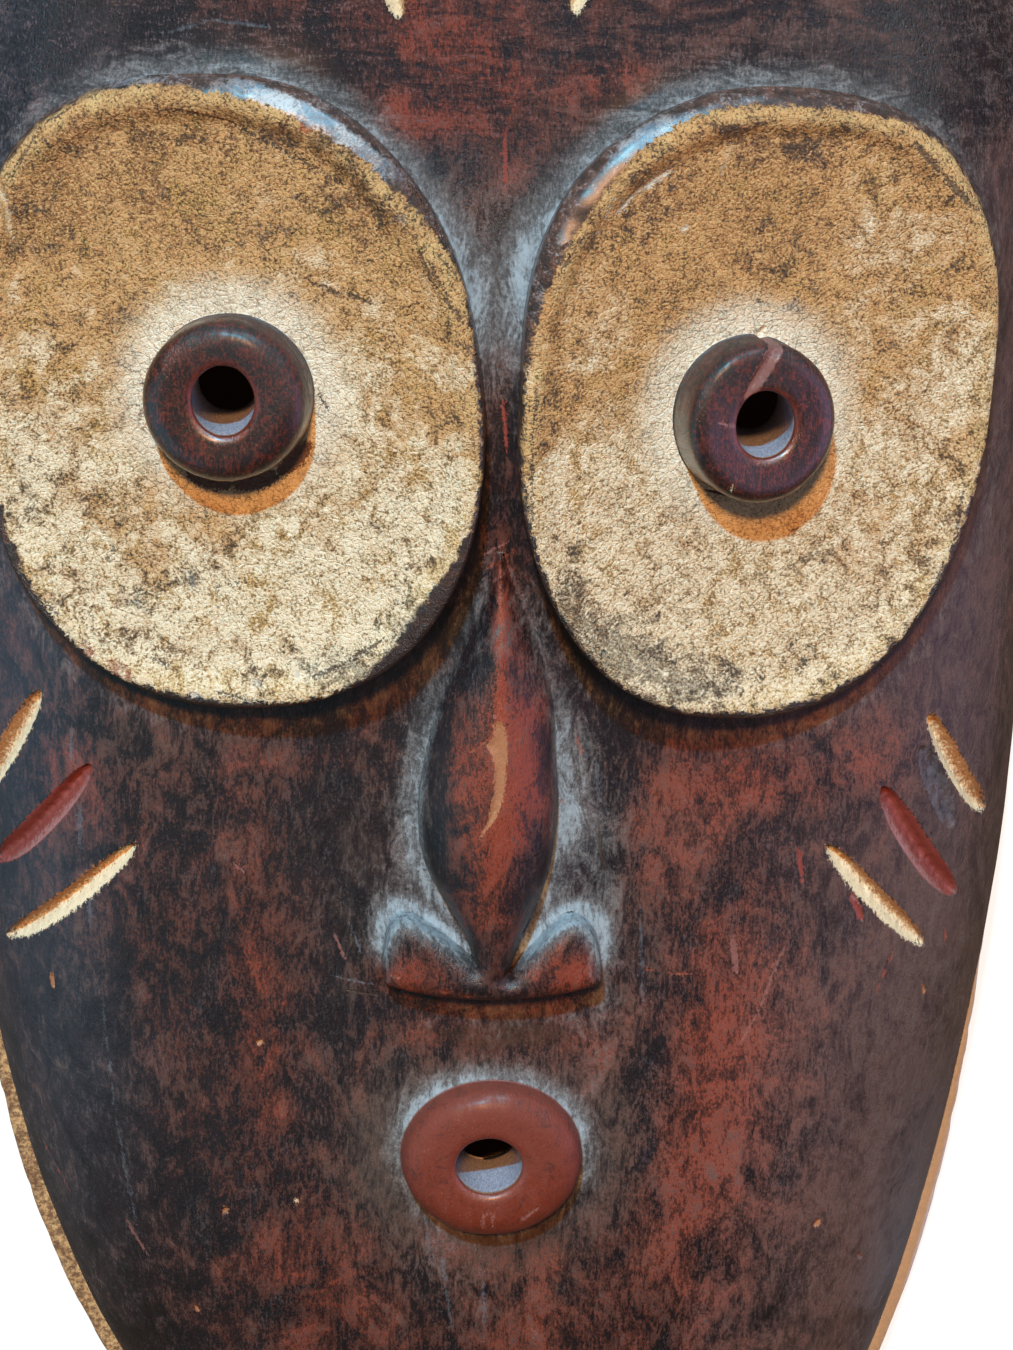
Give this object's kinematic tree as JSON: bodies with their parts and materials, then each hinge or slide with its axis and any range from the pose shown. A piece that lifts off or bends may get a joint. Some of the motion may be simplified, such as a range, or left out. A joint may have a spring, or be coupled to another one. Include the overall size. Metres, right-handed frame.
{
  "type": "carved wooden face mask",
  "caption": "Carved wooden face mask, hollow behind, with huge pale disc eyes, bored round pupils, a long nose, round bored lips and gouged cheek marks.",
  "frame": {"origin": "under the middle of the mask, on the flat back of its rim, with the mask lying face up", "axes": "+X to the right as seen from in front, +Y from chin to crown, +Z out of the face"},
  "size_m": [0.216, 0.41, 0.0799],
  "materials": {
    "carved_wood": "dark handled patina over red ochre, cream paint on the eyes, marks and rim"
  },
  "bodies": {
    "root": {"mask": "carved_wood"}
  },
  "joints": []
}
